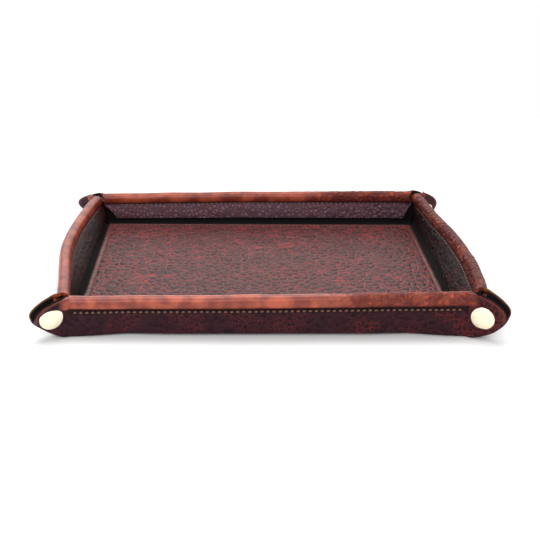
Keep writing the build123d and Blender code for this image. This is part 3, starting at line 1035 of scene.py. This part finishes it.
@dataclass(frozen=True)
class Base:
    """The base: its leather sheet, its lining and the leather-covered pad, in millimetres."""

    lining_inset: float = 17.0
    layer_points: tuple[int, int] = (51, 41)
    layer_sag: float = 0.06
    sag_size: float = 25.0
    pad_half_length: float = 121.0
    pad_half_width: float = 84.5
    pad_top: float = 6.4
    pad_corner: float = 5.0
    pad_points: tuple[int, int] = (230, 170)
    pad_edge: float = 2.0
    pad_skin: float = 1.4
    crowding: float = 1.25
    border: float = 4.2
    border_fade: Span = (0.9, 0.4)
    seam_depth: float = 0.42
    seam_width: float = 0.75
    crown: float = 0.35
    crown_end: float = 22.0
    soft_depth: float = 0.16
    soft_size: float = 17.0
    soft_seed: float = 4.0
    soft_end: float = 9.0
    stitch_pitch: float = 3.4
    stitch_share: float = 0.36
    stitch_sink: float = 0.2
    stitch_inset: float = 1.0
    thread: float = 0.4

    def layer(self, name: str, inset: float, low: float, thickness: float) -> Piece:
        """Build a flat layer of the base.

        Args:
            name: Name of the piece.
            inset: How far its edges lie inside the base's.
            low: Height of its underside.
            thickness: Its thickness.

        Returns:
            The layer, undressed.
        """
        mesh, points = grid(*self.layer_points)
        sag = self.layer_sag if low > 0.0 else 0.0
        for vertex, _, _ in points:
            x, y = vertex.co.x * (SIZES.half_length - inset), vertex.co.y * (SIZES.half_width - inset)
            sink = sag * (1 + ripple(x, y, low, self.sag_size))
            vertex.co = Vector((x, y, low + thickness - sink)) * MM
        orient(mesh, up=True)
        obj = link(mesh, name)
        thicken(obj, thickness - 2 * sag)
        return obj

    def build(self) -> list[Piece]:
        """Build every piece of the base.

        Returns:
            The pieces.
        """
        sheet = self.layer("base_sheet", SIZES.bend_middle + SIZES.bend_overlap, 0.0, SIZES.leather)
        for name in ("roll", "flap", "coarse"):
            paint(sheet, name, [0.0] * len(sheet.data.vertices))
        LEATHER.dress(sheet)
        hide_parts("base_leather")
        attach(sheet, "base")
        suede = self.layer("base_suede", self.lining_inset, SIZES.leather + SIZES.glue, SIZES.lining)
        SUEDE.dress(suede)
        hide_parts("base_lining")
        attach(suede, "base")
        return [sheet, suede, self.pad(), self.pad_stitching()]

    def gap(self, x: float, y: float) -> float:
        """How far a point of the pad lies from the pad's edge."""
        return min(self.pad_half_length - abs(x), self.pad_half_width - abs(y))

    def pad(self) -> Piece:
        """Build the leather over the board, with a smooth border outside its seam.

        Returns:
            The pad's leather.
        """
        low = SIZES.leather + 2 * SIZES.glue + SIZES.lining
        mesh, points = grid(*self.pad_points)
        for vertex, _, _ in points:
            x, y = self.round_corner(self.spread(vertex.co.x) * self.pad_half_length,
                                     self.spread(vertex.co.y) * self.pad_half_width)
            gap = self.gap(x, y)
            turned = max(1.0 - gap / self.pad_edge, 0.0)
            z = self.pad_top - self.pad_edge * (1.0 - math.sqrt(max(1.0 - turned * turned, 0.0)))
            seam = self.seam_depth * math.exp(-(((gap - self.border) / self.seam_width) ** 2))
            crown = self.crown * smooth(self.border, self.crown_end, gap)
            soft = self.soft_depth * ripple(x, y, self.soft_seed, self.soft_size) * smooth(
                self.border, self.soft_end, gap)
            vertex.co = Vector((x, y, z - seam + crown + soft)) * MM
        made = bmesh.ops.extrude_edge_only(mesh, edges=[e for e in mesh.edges if e.is_boundary])
        for vertex in (g for g in made["geom"] if isinstance(g, bmesh.types.BMVert)):
            vertex.co.z = low * MM
        orient(mesh, up=True, highest=True)
        obj = link(mesh, "pad_skin")
        inner, outer = self.border - self.border_fade[0], self.border + self.border_fade[1]
        paint(obj, "border", [1.0 - smooth(inner, outer, self.gap(v.co.x / MM, v.co.y / MM))
                              for v in obj.data.vertices])
        thicken(obj, self.pad_skin)
        PAD_LEATHER.dress(obj)
        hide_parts("pad_cover")
        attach(obj, "base")
        return obj

    def spread(self, share: float) -> float:
        """Crowd the pad's grid towards its edges, where the border and the seam lie."""
        return math.copysign(1.0 - (1.0 - abs(share)) ** self.crowding, share)

    def round_corner(self, x: float, y: float) -> Point:
        """Pull a point of the pad in to its round corner.

        Args:
            x: Place along the length.
            y: Place along the width.

        Returns:
            The place inside the rounded outline.
        """
        cx, cy = self.pad_half_length - self.pad_corner, self.pad_half_width - self.pad_corner
        dx, dy = abs(x) - cx, abs(y) - cy
        if dx <= 0 or dy <= 0:
            return x, y
        scale = max(dx, dy) / math.hypot(dx, dy)
        return math.copysign(cx + dx * scale, x), math.copysign(cy + dy * scale, y)

    def pad_stitching(self) -> Piece:
        """Sew the seam round the pad.

        Returns:
            The row of stitches.
        """
        mesh = bmesh.new()
        half_x, half_y = self.pad_half_length - self.border, self.pad_half_width - self.border
        lift = Vector((0, 0, (self.pad_top - self.stitch_sink) * MM))
        for reach, offset, along in ((half_x, half_y, Vector((1, 0, 0))), (half_y, half_x, Vector((0, 1, 0)))):
            count = int(2 * (reach - self.stitch_inset) / self.stitch_pitch)
            for sign in (-1, 1):
                across = Vector((-along.y, along.x, 0)) * sign
                for i in range(count):
                    middle = along * ((i + 0.5 - count / 2) * self.stitch_pitch) + across * offset
                    half = along * (self.stitch_pitch * self.stitch_share)
                    sew(mesh, (middle - half) * MM + lift, (middle + half) * MM + lift, self.thread)
        obj = link(mesh, "pad_stitching")
        RED_THREAD.dress(obj)
        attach(obj, "base")
        return obj


class Nodes:
    """Short hand for building one material or shader group."""

    def __init__(self, tree: bpy.types.NodeTree) -> None:
        """Start on a tree."""
        self.tree = tree

    def add(self, kind: str, **values: object) -> bpy.types.Node:
        """Add a node and set its own settings and its inputs by name.

        Args:
            kind: The node's type.
            values: Settings, or inputs with spaces written as underscores.

        Returns:
            The node.
        """
        node = self.tree.nodes.new(kind)
        for key, value in values.items():
            name = key.replace("_", " ")
            if name in node.inputs:
                self.feed(node.inputs[name], value)
            else:
                setattr(node, key, value)
        return node

    def feed(self, socket: Socket, value: object) -> None:
        """Link a socket to an output, or set it to a constant.

        Args:
            socket: The input.
            value: The output or the constant.
        """
        if isinstance(value, bpy.types.NodeSocket):
            self.tree.links.new(value, socket)
        else:
            socket.default_value = value

    def combine(self, kind: str, inputs: dict[int, object], output: int = 0, **values: object) -> Socket:
        """Add a node whose inputs go by number.

        Args:
            kind: The node's type.
            inputs: What each numbered input takes.
            output: Number of the output that is wanted.
            values: Settings of the node.

        Returns:
            The output.
        """
        node = self.add(kind, **values)
        for index, value in inputs.items():
            self.feed(node.inputs[index], value)
        return node.outputs[output]

    def math(self, operation: str, a: object, b: object = 0.0) -> Socket:
        """Return the result of a Math node."""
        return self.combine("ShaderNodeMath", {0: a, 1: b}, operation=operation)

    def times(self, a: object, b: object) -> Socket:
        """Return a product."""
        return self.math("MULTIPLY", a, b)

    def vector(self, operation: str, a: object, b: object) -> Socket:
        """Return the result of a Vector Math node."""
        return self.combine("ShaderNodeVectorMath", {0: a, 1: b}, operation=operation)

    def blend(self, share: object, a: object, b: object) -> Socket:
        """Return a mix of two colours."""
        return self.combine("ShaderNodeMix", {0: share, 6: a, 7: b}, output=2, data_type="RGBA")

    def ramp(self, value: object, low: object, high: object, to_low: object = 0.0, to_high: object = 1.0) -> Socket:
        """Return a value mapped smoothly from one range to another."""
        return self.combine("ShaderNodeMapRange", {0: value, 1: low, 2: high, 3: to_low, 4: to_high},
                            interpolation_type="SMOOTHSTEP")

    def place(self) -> Socket:
        """Return the point on the piece."""
        return self.add("ShaderNodeTexCoord").outputs["Object"]

    def attribute(self, name: str) -> Socket:
        """Return a number that the piece stores at each point."""
        return self.add("ShaderNodeAttribute", attribute_name=name).outputs["Fac"]

    def noise(self, place: Socket, scale: float, detail: float) -> Socket:
        """Return soft noise from 0 to 1."""
        return self.add("ShaderNodeTexNoise", Vector=place, Scale=scale, Detail=detail).outputs["Fac"]

    def bump(self, shader: bpy.types.Node, height: Socket, strength: float, distance: float) -> None:
        """Raise the surface.

        Args:
            shader: The Principled BSDF.
            height: Height at each point.
            strength: Strength of the bump.
            distance: Height in metres that 1 stands for.
        """
        bump = self.add("ShaderNodeBump", Height=height, Strength=strength, Distance=distance)
        self.feed(shader.inputs["Normal"], bump.outputs["Normal"])


def colour(shade: Colour) -> tuple[float, float, float, float]:
    """Turn a screen colour of 0 to 255 into the shader's linear colour.

    Args:
        shade: Red, green and blue.

    Returns:
        The linear colour with full alpha.
    """
    full, toe_end, toe_slope, offset, power = 255, 0.04045, 12.92, 0.055, 2.4
    parts = [c / full for c in shade]
    red, green, blue = (c / toe_slope if c <= toe_end else ((c + offset) / (1.0 + offset)) ** power for c in parts)
    return (red, green, blue, 1.0)


def grain_group() -> bpy.types.NodeTree:
    """Build the shader group for tumbled leather: plates, the veins between them, and pores.

    Returns:
        The group.
    """
    warp_scale, warp_detail, middle = 260.0, 3.0, (0.5, 0.5, 0.5)
    loose, looser, small_share = 0.92, 1.0, 2.7
    pore_scale, pore_detail = 2600.0, 2.0
    vein_core, dome_width, fine_width, fine_share, pore_share = 0.25, 0.42, 0.3, 0.22, 0.16
    tree = bpy.data.node_groups.new("LeatherGrain", "ShaderNodeTree")
    face = tree.interface
    face.new_socket("Vector", in_out="INPUT", socket_type="NodeSocketVector").hide_value = True
    for name in ("Plate Scale", "Vein Width", "Warp"):
        face.new_socket(name, in_out="INPUT", socket_type="NodeSocketFloat")
    for name in ("Vein", "Plate", "Height", "Pores"):
        face.new_socket(name, in_out="OUTPUT", socket_type="NodeSocketFloat")
    n = Nodes(tree)
    given = tree.nodes.new("NodeGroupInput").outputs
    result = tree.nodes.new("NodeGroupOutput").inputs
    warp = n.add("ShaderNodeTexNoise", Vector=given["Vector"], Scale=warp_scale, Detail=warp_detail)
    shift = n.vector("SUBTRACT", warp.outputs["Color"], middle)
    scaled = n.add("ShaderNodeVectorMath", operation="SCALE", Vector=shift, Scale=given["Warp"])
    moved = n.vector("ADD", given["Vector"], scaled.outputs[0])
    cells = n.add("ShaderNodeTexVoronoi", feature="DISTANCE_TO_EDGE", Vector=moved,
                  Scale=given["Plate Scale"], Randomness=loose)
    tints = n.add("ShaderNodeTexVoronoi", feature="F1", Vector=moved, Scale=given["Plate Scale"], Randomness=loose)
    small = n.add("ShaderNodeTexVoronoi", feature="DISTANCE_TO_EDGE", Vector=moved,
                  Scale=n.times(given["Plate Scale"], small_share), Randomness=looser)
    pores = n.noise(given["Vector"], pore_scale, pore_detail)
    edge = n.ramp(cells.outputs["Distance"], n.times(given["Vein Width"], vein_core), given["Vein Width"], 1.0, 0.0)
    dome = n.ramp(cells.outputs["Distance"], 0.0, dome_width)
    fine = n.ramp(small.outputs["Distance"], 0.0, fine_width)
    height = n.math("ADD", dome, n.times(fine, fine_share))
    height = n.math("ADD", height, n.times(pores, pore_share))
    split = n.add("ShaderNodeSeparateColor", Color=tints.outputs["Color"])
    n.feed(result["Vein"], edge)
    n.feed(result["Plate"], split.outputs[0])
    n.feed(result["Height"], height)
    n.feed(result["Pores"], pores)
    return tree


def new_material(name: str) -> tuple[bpy.types.Material, Nodes, bpy.types.Node]:
    """Start a material.

    Args:
        name: Its name.

    Returns:
        The material, its node helper and its Principled BSDF.
    """
    material = bpy.data.materials.new(name)
    material.use_nodes = True
    return material, Nodes(material.node_tree), material.node_tree.nodes["Principled BSDF"]


def dress(obj: Piece, material: bpy.types.Material) -> None:
    """Give a piece one material all over."""
    obj.data.materials.clear()
    obj.data.materials.append(material)


@dataclass(frozen=True)
class Grain:
    """One size of leather grain."""

    plates_per_metre: float
    vein_width: float
    warp: float

    def add(self, n: Nodes, place: Socket) -> bpy.types.NodeOutputs:
        """Place the grain group in a material.

        Args:
            n: The material's node helper.
            place: The point on the piece.

        Returns:
            The group's outputs.
        """
        group = n.add("ShaderNodeGroup", node_tree=GRAIN)
        for name, value in (("Vector", place), ("Plate Scale", self.plates_per_metre),
                            ("Vein Width", self.vein_width), ("Warp", self.warp)):
            n.feed(group.inputs[name], value)
        return group.outputs


@dataclass(frozen=True)
class WallLeather:
    """Antiqued leather of the walls and ears: dark plates, red veins, and a worn rolled rim."""

    name: str = "antiqued_leather"
    plate: Colour = (32, 13, 21)
    plate_light: Colour = (56, 26, 36)
    vein: Colour = (104, 36, 32)
    rim: Colour = (122, 46, 32)
    rim_light: Colour = (176, 82, 54)
    # Painted shade: the flap is the face's leather, made darker for the shade inside the tray
    flap: Colour = (22, 7, 7)
    # Painted highlight: the back flap's lit colour, on the tops of its pebbles
    lit_back_flap: Colour = (128, 94, 106)
    cut: Colour = (150, 92, 46)
    shadow: Colour = (22, 8, 12)
    fine: Grain = Grain(330.0, 0.10, 0.0012)
    large: Grain = Grain(190.0, 0.08, 0.0026)
    cloud: Noise = (42.0, 4.0)
    cloud_ramp: Ramp = (0.40, 0.62)
    fine_veins: Ramp = (0.0, 1.0, 0.05, 0.6)
    large_veins: Ramp = (0.1, 0.8, 0.04, 0.85)
    cloud_veins: Ramp = (0.0, 1.0, 0.25, 1.0)
    plate_share: float = 0.8
    highlight_ramp: Ramp = (0.1, 1.1, 0.45, 1.0)
    flap_veins: float = 0.5
    patch: Noise = (90.0, 5.0)
    patch_ramp: Ramp = (0.38, 0.66)
    crease_share: float = 0.8
    rim_veins: float = 0.35
    roll_ramp: Ramp = (0.15, 0.95)
    cut_ramp: Ramp = (0.5, 1.0)
    gloss_shade: Ramp = (0.0, 0.26, 1.0, 0.15)
    gloss_ramp: Ramp = (0.1, 0.9, 0.6, 0.12)
    coat_roughness: float = 0.3
    matt_ramp: Ramp = (0.3, 0.7, 0.40, 0.54)
    polish_ramp: Ramp = (0.2, 0.9, 0.28, 0.40)
    specular: float = 0.12
    plain_height: float = 0.45
    large_height: Ramp = (0.1, 0.9, 0.1, 1.1)
    tame_ramp: Ramp = (0.0, 0.6, 0.82, 0.0)
    bump: Bump = (0.9, 0.0009)

    def material(self) -> bpy.types.Material:
        """Build the material.

        Returns:
            The material, which reads the roll, flap, coarse, cut and shade attributes, and the back flap's painted
            highlight.
        """
        material, n, shader = new_material(self.name)
        place = n.place()
        roll, flap, coarse, cut, shade, painted_highlight = (
            n.attribute(name) for name in ("roll", "flap", "coarse", "cut", "shade", "painted_highlight"))
        plate, plate_light, vein_tone, rim_light = map(
            colour, (self.plate, self.plate_light, self.vein, self.rim_light))
        fine, large = self.fine.add(n, place), self.large.add(n, place)
        spread = n.ramp(n.noise(place, *self.cloud), *self.cloud_ramp)
        vein_fine = n.times(fine["Vein"], n.ramp(spread, *self.fine_veins))
        vein_large = n.times(large["Vein"], n.ramp(coarse, *self.large_veins))
        vein_large = n.times(vein_large, n.ramp(spread, *self.cloud_veins))
        vein = n.math("MAXIMUM", vein_fine, vein_large)
        ground = n.blend(n.times(fine["Plate"], self.plate_share), plate, plate_light)
        worn = n.blend(vein, ground, vein_tone)
        # Painted highlight on the back flap, lighter on the tops of its pebbles
        highlight = n.times(painted_highlight, n.ramp(fine["Height"], *self.highlight_ramp))
        flap_ground = n.blend(highlight, colour(self.flap), colour(self.lit_back_flap))
        # The flaps take painted shade, and the back flap its painted highlight
        worn = n.blend(flap, worn, n.blend(n.times(vein, self.flap_veins), flap_ground, vein_tone))
        patch = n.ramp(n.noise(place, *self.patch), *self.patch_ramp)
        rim = n.blend(patch, colour(self.rim), rim_light)
        creases = n.times(n.math("SUBTRACT", 1.0, large["Height"]), coarse)
        rim = n.blend(n.times(creases, self.crease_share), rim, plate_light)
        rim = n.blend(n.times(vein_large, self.rim_veins), rim, rim_light)
        tone = n.blend(n.ramp(roll, *self.roll_ramp), worn, rim)
        tone = n.blend(n.ramp(cut, *self.cut_ramp), tone, colour(self.cut))
        # Painted shade: the shade attribute darkens the colour towards the shadow colour
        n.feed(shader.inputs["Base Color"], n.blend(shade, tone, colour(self.shadow)))
        gloss = n.times(roll, n.ramp(shade, *self.gloss_shade))
        n.feed(shader.inputs["Coat Weight"], n.times(gloss, n.ramp(coarse, *self.gloss_ramp)))
        shader.inputs["Coat Roughness"].default_value = self.coat_roughness
        shader.inputs["Specular IOR Level"].default_value = self.specular
        matt = n.ramp(fine["Pores"], *self.matt_ramp)
        polish = n.ramp(coarse, *self.polish_ramp)
        n.feed(shader.inputs["Roughness"], n.combine("ShaderNodeMix", {0: roll, 2: matt, 3: polish}))
        height = n.math("ADD", n.times(fine["Height"], self.plain_height),
                        n.times(large["Height"], n.ramp(coarse, *self.large_height)))
        tame = n.times(roll, n.ramp(coarse, *self.tame_ramp))
        n.bump(shader, n.times(height, n.math("SUBTRACT", 1.0, tame)), *self.bump)
        return material


@dataclass(frozen=True)
class PadLeather:
    """Leather over the base board: mauve grey plates with bright red veins, and a plain border."""

    name: str = "pad_leather"
    plate: Colour = (46, 22, 22)
    plate_light: Colour = (70, 38, 39)
    vein: Colour = (146, 30, 23)
    border: Colour = (70, 34, 32)
    grain: Grain = Grain(190.0, 0.075, 0.0020)
    large: Grain = Grain(120.0, 0.07, 0.0028)
    cloud: Noise = (26.0, 3.0)
    cloud_ramp: Ramp = (0.36, 0.64, 0.62, 1.0)
    border_veins: float = 0.15
    pore_ramp: Ramp = (0.3, 0.7, 0.38, 0.52)
    specular: float = 0.38
    large_height: float = 0.4
    border_height: float = 0.25
    bump: Bump = (1.0, 0.0014)

    def material(self) -> bpy.types.Material:
        """Build the material.

        Returns:
            The material, which reads the border attribute.
        """
        material, n, shader = new_material(self.name)
        place = n.place()
        border = n.attribute("border")
        grain, large = self.grain.add(n, place), self.large.add(n, place)
        strength = n.ramp(n.noise(place, *self.cloud), *self.cloud_ramp)
        inside = n.math("SUBTRACT", 1.0, border)
        vein = n.times(n.times(grain["Vein"], strength), n.math("MAXIMUM", inside, self.border_veins))
        ground = n.blend(grain["Plate"], colour(self.plate), colour(self.plate_light))
        ground = n.blend(border, ground, colour(self.border))
        n.feed(shader.inputs["Base Color"], n.blend(vein, ground, colour(self.vein)))
        n.feed(shader.inputs["Roughness"], n.ramp(grain["Pores"], *self.pore_ramp))
        shader.inputs["Specular IOR Level"].default_value = self.specular
        height = n.math("ADD", grain["Height"], n.times(large["Height"], self.large_height))
        n.bump(shader, n.times(height, n.math("MAXIMUM", inside, self.border_height)), *self.bump)
        return material


@dataclass(frozen=True)
class Suede:
    """Black suede of the lining."""

    name: str = "black_suede"
    dark: Colour = (9, 7, 7)
    light: Colour = (22, 18, 18)
    nap: Noise = (900.0, 4.0)
    cloud: Noise = (60.0, 2.0)
    nap_ramp: Ramp = (0.3, 0.7, 0.85, 0.97)
    specular: float = 0.2
    bump: Bump = (0.4, 0.0003)

    def material(self) -> bpy.types.Material:
        """Build the material.

        Returns:
            The material.
        """
        material, n, shader = new_material(self.name)
        place = n.place()
        nap = n.noise(place, *self.nap)
        share = n.times(nap, n.noise(place, *self.cloud))
        n.feed(shader.inputs["Base Color"], n.blend(share, colour(self.dark), colour(self.light)))
        n.feed(shader.inputs["Roughness"], n.ramp(nap, *self.nap_ramp))
        shader.inputs["Specular IOR Level"].default_value = self.specular
        n.bump(shader, nap, *self.bump)
        return material


@dataclass(frozen=True)
class Brass:
    """Pale polished brass of the snap fasteners."""

    name: str = "pale_brass"
    bright: Colour = (250, 240, 214)
    worn: Colour = (242, 230, 198)
    tarnish: Noise = (240.0, 5.0)
    tarnish_ramp: Ramp = (0.45, 0.72)
    brushing: Noise = (3200.0, 2.0)
    brushing_ramp: Ramp = (0.3, 0.7, 0.2, 0.27)
    bump: Bump = (0.02, 0.0001)

    def material(self) -> bpy.types.Material:
        """Build the material.

        Returns:
            The material.
        """
        material, n, shader = new_material(self.name)
        place = n.place()
        brushed = n.noise(place, *self.brushing)
        share = n.ramp(n.noise(place, *self.tarnish), *self.tarnish_ramp)
        n.feed(shader.inputs["Base Color"], n.blend(share, colour(self.bright), colour(self.worn)))
        shader.inputs["Metallic"].default_value = 1.0
        n.feed(shader.inputs["Roughness"], n.ramp(brushed, *self.brushing_ramp))
        n.bump(shader, brushed, *self.bump)
        return material


@dataclass(frozen=True)
class Fibre:
    """Spun or pressed fibre: thread, filler cord and board."""

    name: str
    dark: Colour
    light: Colour
    scale: float = 1500.0
    hole: Colour = (16, 8, 8)
    distortion: float = 3.0
    detail: float = 2.0
    hole_ramp: Ramp = (0.05, 0.4)
    strand_ramp: Ramp = (0.0, 1.0, 0.7, 0.9)
    bump: Bump = (0.4, 0.0002)

    def material(self) -> bpy.types.Material:
        """Build the material.

        Returns:
            The material, which reads the attribute that marks the ends of stitches, where they take the painted shade
            of the stitch holes.
        """
        material, n, shader = new_material(self.name)
        strands = n.add("ShaderNodeTexWave", Vector=n.place(), Scale=self.scale, Distortion=self.distortion,
                        Detail=self.detail).outputs["Fac"]
        spun = n.blend(strands, colour(self.dark), colour(self.light))
        # Painted shade of the stitch holes, on the thread's ends
        hole = n.ramp(n.attribute("hole"), *self.hole_ramp)
        n.feed(shader.inputs["Base Color"], n.blend(hole, spun, colour(self.hole)))
        n.feed(shader.inputs["Roughness"], n.ramp(strands, *self.strand_ramp))
        n.bump(shader, strands, *self.bump)
        return material


class Finish:
    """A finish whose material is built once, when a piece first asks for it."""

    def __init__(self, recipe: WallLeather | PadLeather | Suede | Brass | Fibre) -> None:
        """Keep the recipe."""
        self.recipe = recipe
        self.made: bpy.types.Material | None = None

    def dress(self, obj: Piece) -> None:
        """Give a piece this finish.

        Args:
            obj: The piece.
        """
        if self.made is None:
            self.made = self.recipe.material()
        dress(obj, self.made)


GRAIN = grain_group()
LEATHER = Finish(WallLeather())
PAD_LEATHER = Finish(PadLeather())
SUEDE = Finish(Suede())
BRASS = Finish(Brass())
TAN_THREAD = Finish(Fibre("tan_thread", (120, 84, 74), (176, 136, 116)))
FACE_THREAD = Finish(Fibre("face_thread", (96, 56, 46), (150, 98, 78)))
RED_THREAD = Finish(Fibre("red_thread", (120, 52, 40), (176, 92, 66)))
CORD = Finish(Fibre("filler_cord", (24, 16, 14), (44, 30, 26), 700.0))
BOARD = Finish(Fibre("fibre_board", (92, 72, 54), (120, 98, 74), 300.0))

# Each corner with the wall and the end that carry its cap half, then its stud half
CORNERS = (
    ("front_left", Side.FRONT, -1, Side.LEFT, 1),
    ("front_right", Side.FRONT, 1, Side.RIGHT, -1),
    ("back_left", Side.BACK, 1, Side.LEFT, -1),
    ("back_right", Side.BACK, -1, Side.RIGHT, 1),
)


@dataclass(frozen=True)
class Lamp:
    """A soft box that looks at the tray: its place and sides in metres and its power in watts."""

    name: str
    place: tuple[float, float, float]
    size: Point
    power: float

    def hang(self) -> None:
        """Add the lamp to the scene."""
        data = bpy.data.lights.new(self.name, "AREA")
        data.shape = "RECTANGLE"
        data.size, data.size_y = self.size
        data.energy = self.power
        lamp = bpy.data.objects.new(self.name, data)
        bpy.context.scene.collection.objects.link(lamp)
        place = Vector(self.place)
        lamp.matrix_world = Matrix.Translation(place) @ (-place).to_track_quat("-Z", "Y").to_matrix().to_4x4()


@dataclass(frozen=True)
class Studio:
    """The floor, the lamps and the camera."""

    focal: float = 61.8
    sensor: float = 36.0
    camera_place: tuple[float, float, float] = (-21.6, -610.1, 266.5)
    pitch: float = 23.38
    yaw: float = 2.45
    roll: float = 1.09
    nearest: float = 0.01
    floor_half: float = 6.0
    floor_tone: float = 0.9
    floor_roughness: float = 0.9
    floor_fade: Span = (0.24, 0.6)
    room_light: float = 0.62
    lamps: tuple[Lamp, ...] = (
        Lamp("overhead", (-0.05, 0.12, 0.9), (1.0, 0.5), 7.0),
        Lamp("front", (-0.25, -0.95, 0.75), (0.9, 0.7), 5.5),
        Lamp("back", (0.0, 1.3, 0.62), (1.6, 0.5), 5.5),
    )

    def camera(self) -> None:
        """Set the camera at the photograph's angle."""
        data = bpy.data.cameras.new("camera")
        data.sensor_width = self.sensor
        data.lens = self.focal
        data.clip_start = self.nearest
        camera = bpy.data.objects.new("camera", data)
        bpy.context.scene.collection.objects.link(camera)
        p, y, r = (math.radians(v) for v in (self.pitch, self.yaw, self.roll))
        forward = Vector((math.sin(y) * math.cos(p), math.cos(y) * math.cos(p), -math.sin(p)))
        right = Vector((math.cos(y), -math.sin(y), 0.0))
        up = right.cross(forward)
        right, up = right * math.cos(r) + up * math.sin(r), up * math.cos(r) - right * math.sin(r)
        turn = Matrix((right, up, -forward)).transposed().to_4x4()
        camera.matrix_world = Matrix.Translation(Vector(self.camera_place) * MM) @ turn
        bpy.context.scene.camera = camera

    def seen(self, n: Nodes) -> Socket:
        """Tell rays that show a surface from rays that only light the tray.

        Args:
            n: Node helper of the material or the world.

        Returns:
            1 for camera, glossy and transmission rays.
        """
        path = n.add("ShaderNodeLightPath").outputs
        seen = n.math("MAXIMUM", path["Is Camera Ray"], path["Is Glossy Ray"])
        return n.math("MAXIMUM", seen, path["Is Transmission Ray"])

    def floor(self) -> None:
        """Lay the pale floor, which turns white further away."""
        mesh = bmesh.new()
        bmesh.ops.create_grid(mesh, x_segments=1, y_segments=1, size=self.floor_half)
        floor = link(mesh, "floor")
        material, n, shader = new_material("pale_floor")
        shader.inputs["Base Color"].default_value = (self.floor_tone, self.floor_tone, self.floor_tone, 1.0)
        shader.inputs["Roughness"].default_value = self.floor_roughness
        away = n.add("ShaderNodeVectorMath", operation="LENGTH", Vector=n.place()).outputs["Value"]
        far = n.times(self.seen(n), n.ramp(away, *self.floor_fade))
        glow = n.add("ShaderNodeEmission", Color=(1.0, 1.0, 1.0, 1.0), Strength=1.0)
        blended = n.combine("ShaderNodeMixShader", {0: far, 1: shader.outputs[0], 2: glow.outputs[0]})
        n.feed(material.node_tree.nodes["Material Output"].inputs["Surface"], blended)
        dress(floor, material)

    def world(self) -> None:
        """Light the room evenly, with a white background."""
        world = bpy.data.worlds.new("room")
        world.use_nodes = True
        n = Nodes(world.node_tree)
        background = world.node_tree.nodes["Background"]
        background.inputs["Color"].default_value = (1.0, 1.0, 1.0, 1.0)
        n.feed(background.inputs["Strength"], n.ramp(self.seen(n), 0.0, 1.0, self.room_light, 1.0))
        bpy.context.scene.world = world

    def build(self) -> None:
        """Build the whole studio."""
        self.camera()
        self.floor()
        self.world()
        for lamp in self.lamps:
            lamp.hang()
        bpy.context.scene.view_settings.view_transform = "Standard"


def dress_cad_pieces() -> None:
    """Give the metal and inner pieces of the model their finishes."""
    for name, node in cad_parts.items():
        if "snap" in name:
            BRASS.dress(node)
        elif "cord" in name:
            CORD.dress(node)
        elif name == "pad_board":
            BOARD.dress(node)


def main() -> None:
    """Build the tray and its studio in order."""
    logging.basicConfig(level=logging.INFO, format="%(message)s")
    Studio().build()
    pieces = Base().build()
    for side in Side:
        wall = Wall(side)
        pieces += [wall.skin(), wall.lining_strip(), wall.cord(), wall.stitches(False), wall.stitches(True)]
    for corner, cap_side, cap_end, stud_side, stud_end in CORNERS:
        for ear in (Ear(corner, Role.CAP, cap_side, cap_end), Ear(corner, Role.STUD, stud_side, stud_end)):
            pieces += [ear.skin(), ear.lining()]
    dress_cad_pieces()
    for piece in pieces:
        log.info("%s: %d faces", piece.name, len(piece.data.polygons))


if __name__ == "__main__":
    main()
